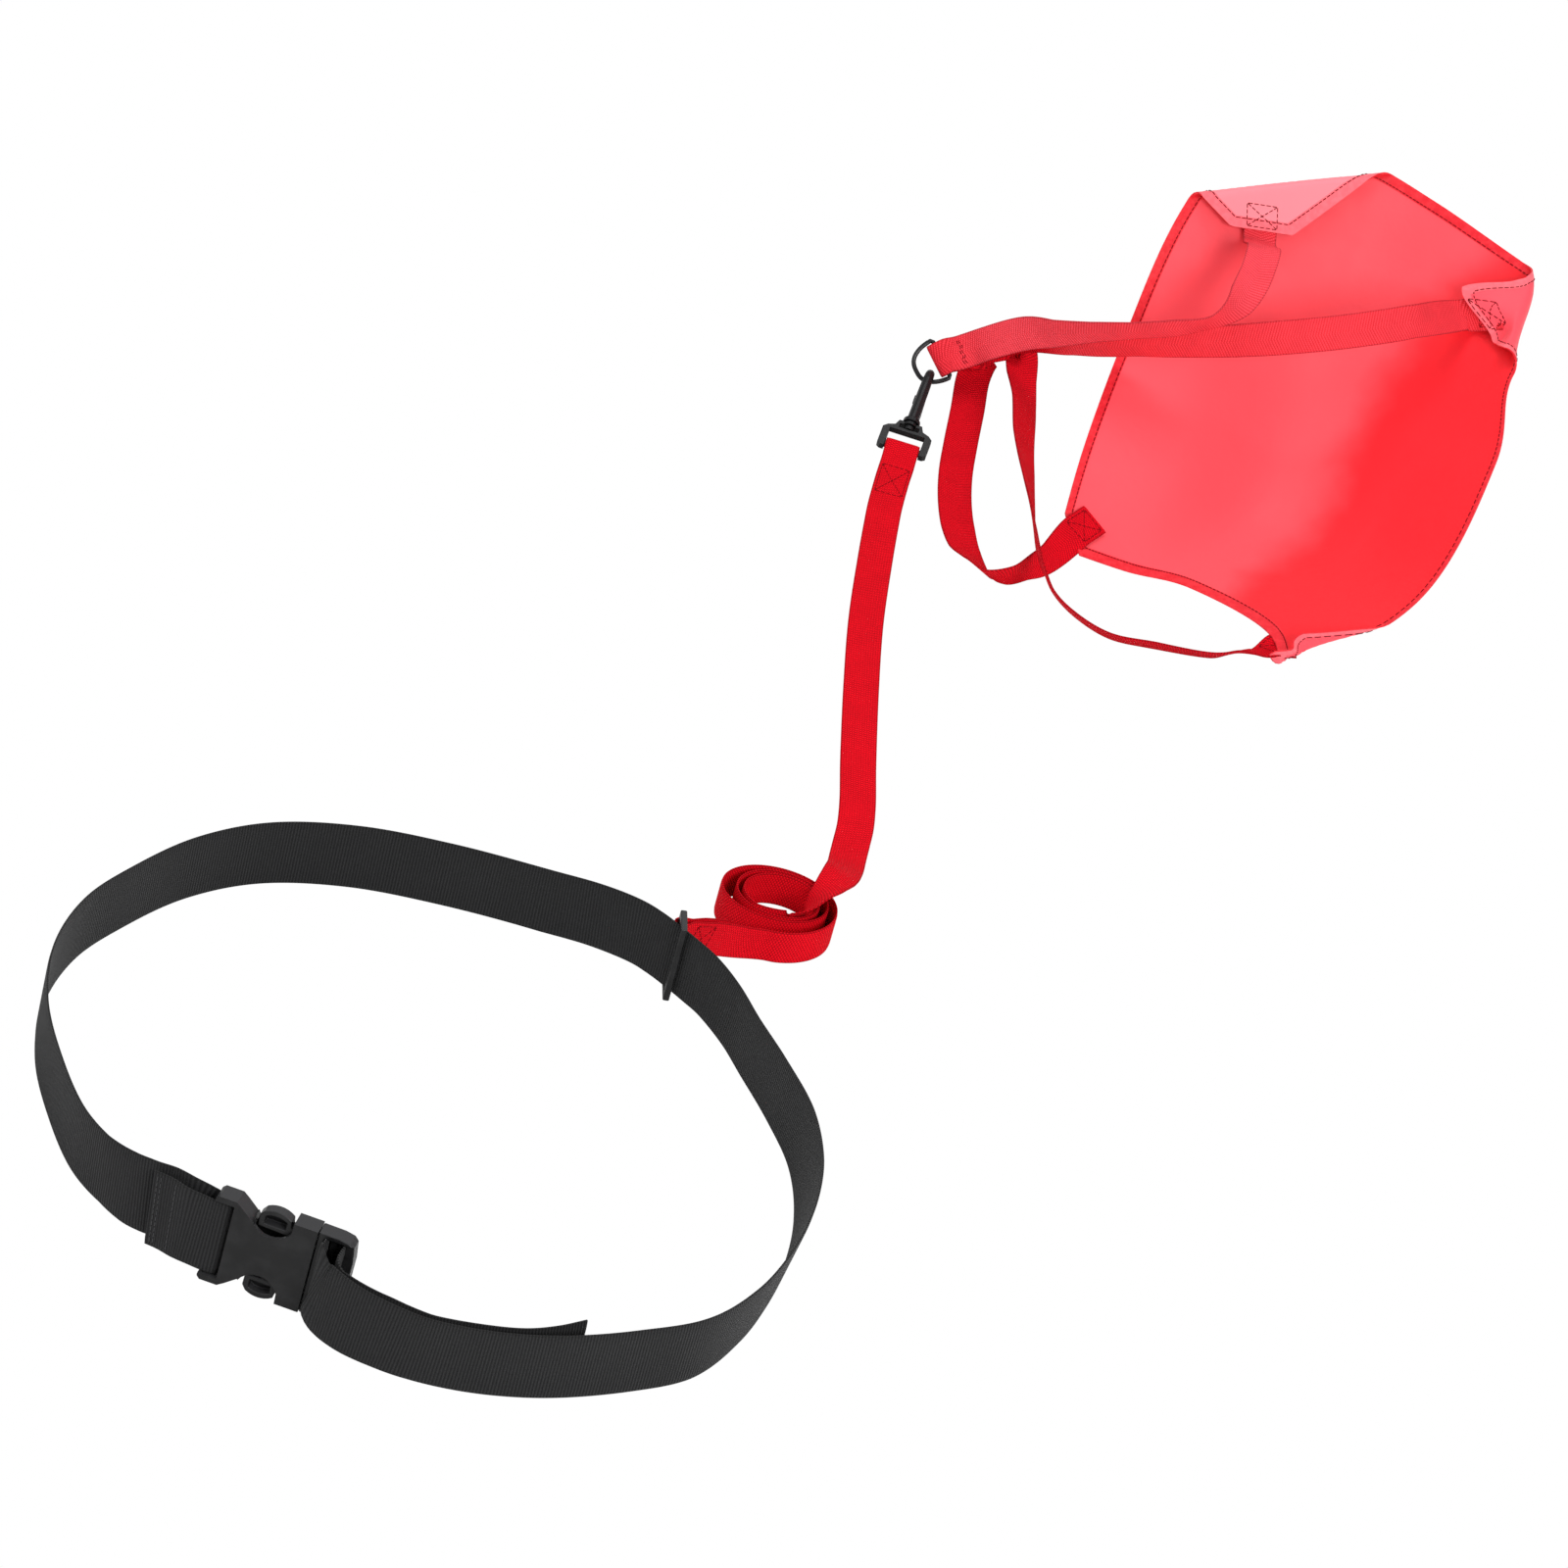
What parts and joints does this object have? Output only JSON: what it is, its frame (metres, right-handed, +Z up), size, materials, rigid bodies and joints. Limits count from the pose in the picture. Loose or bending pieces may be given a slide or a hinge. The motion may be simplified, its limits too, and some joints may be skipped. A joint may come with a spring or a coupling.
{
  "type": "swim resistance belt",
  "caption": "Waist belt with a side-release buckle and a tether that ends in a snap hook holding a small fabric drag chute.",
  "frame": {"origin": "centre of the bounding box, on the ground plane", "axes": "+Z up, +Y from the belt along the laid-out tether towards the chute, +X towards the side on which the chute lies"},
  "size_m": [0.8376, 1.3192, 0.2044],
  "materials": {
    "webbing_black": "ribbed woven webbing",
    "plastic_black": "fine moulded satin",
    "webbing_red": "flat woven webbing",
    "cloth_red": "fine coated nylon cloth",
    "metal_black": "black coating, semi-gloss"
  },
  "bodies": {
    "belt": {"belt_webbing": "webbing_black", "buckle_socket": "plastic_black"},
    "plug": {"buckle_plug": "plastic_black"},
    "prong_upper": {"buckle_prong_upper": "plastic_black"},
    "prong_lower": {"buckle_prong_lower": "plastic_black"},
    "ring": {"belt_ring": "plastic_black"},
    "tether": {"tether_webbing": "webbing_red"},
    "eye": {"hook_eye": "plastic_black"},
    "hook": {"hook_body": "plastic_black"},
    "gate": {"hook_gate": "plastic_black"},
    "chute_link": {"chute_ring": "metal_black"},
    "chute": {"strap_outer": "webbing_red", "strap_inner": "webbing_red", "chute_canopy": "cloth_red"}
  },
  "joints": [
    {"name": "plug_release", "type": "slide", "parent": "belt", "child": "plug", "axis": [0.9945, -0.1045, 0], "range_m": [0, 0.045], "deforming": ["belt_webbing", "buckle_prong_upper", "buckle_prong_lower"]},
    {"name": "prong_upper_squeeze", "type": "hinge", "parent": "plug", "child": "prong_upper", "pos_m": [-0.20581, -0.61669, 0.04556], "axis": [-0.1035, -0.9848, 0.1392], "range_deg": [0, 12], "stiffness_Nm_per_rad": 0.3},
    {"name": "prong_lower_squeeze", "type": "hinge", "parent": "plug", "child": "prong_lower", "pos_m": [-0.20623, -0.6207, 0.01684], "axis": [0.1035, 0.9848, -0.1392], "range_deg": [0, 12], "stiffness_Nm_per_rad": 0.3},
    {"name": "ring_slide", "type": "slide", "parent": "belt", "child": "ring", "axis": [0.8051, -0.5931, 0], "range_m": [-0.006, 0.006]},
    {"name": "tether_swing", "type": "hinge", "parent": "ring", "child": "tether", "pos_m": [-0.05272, -0.2305, 0.03], "axis": [0, 0, 1], "range_deg": [-8, 40]},
    {"name": "eye_lift", "type": "hinge", "parent": "tether", "child": "eye", "pos_m": [0.00383, 0.4345, 0.005], "axis": [0.9972, -0.0754, 0], "range_deg": [0, 35]},
    {"name": "hook_swivel", "type": "hinge", "parent": "eye", "child": "hook", "pos_m": [0.00383, 0.4345, 0.005], "axis": [0.0724, 0.9569, 0.2812], "continuous": true},
    {"name": "gate_spring", "type": "hinge", "parent": "hook", "child": "gate", "pos_m": [0.00699, 0.47631, 0.00947], "axis": [0.9972, -0.0754, 0], "range_deg": [0, 15], "stiffness_Nm_per_rad": 0.05},
    {"name": "link_swing", "type": "hinge", "parent": "hook", "child": "chute_link", "pos_m": [0.00931, 0.50687, 0.01998], "axis": [0.9972, -0.0754, 0], "range_deg": [-6, 6]},
    {"name": "chute_swing", "type": "hinge", "parent": "chute_link", "child": "chute", "pos_m": [0.01439, 0.51797, 0.03499], "axis": [0.6701, -0.441, -0.5971], "range_deg": [0, 18]}
  ]
}
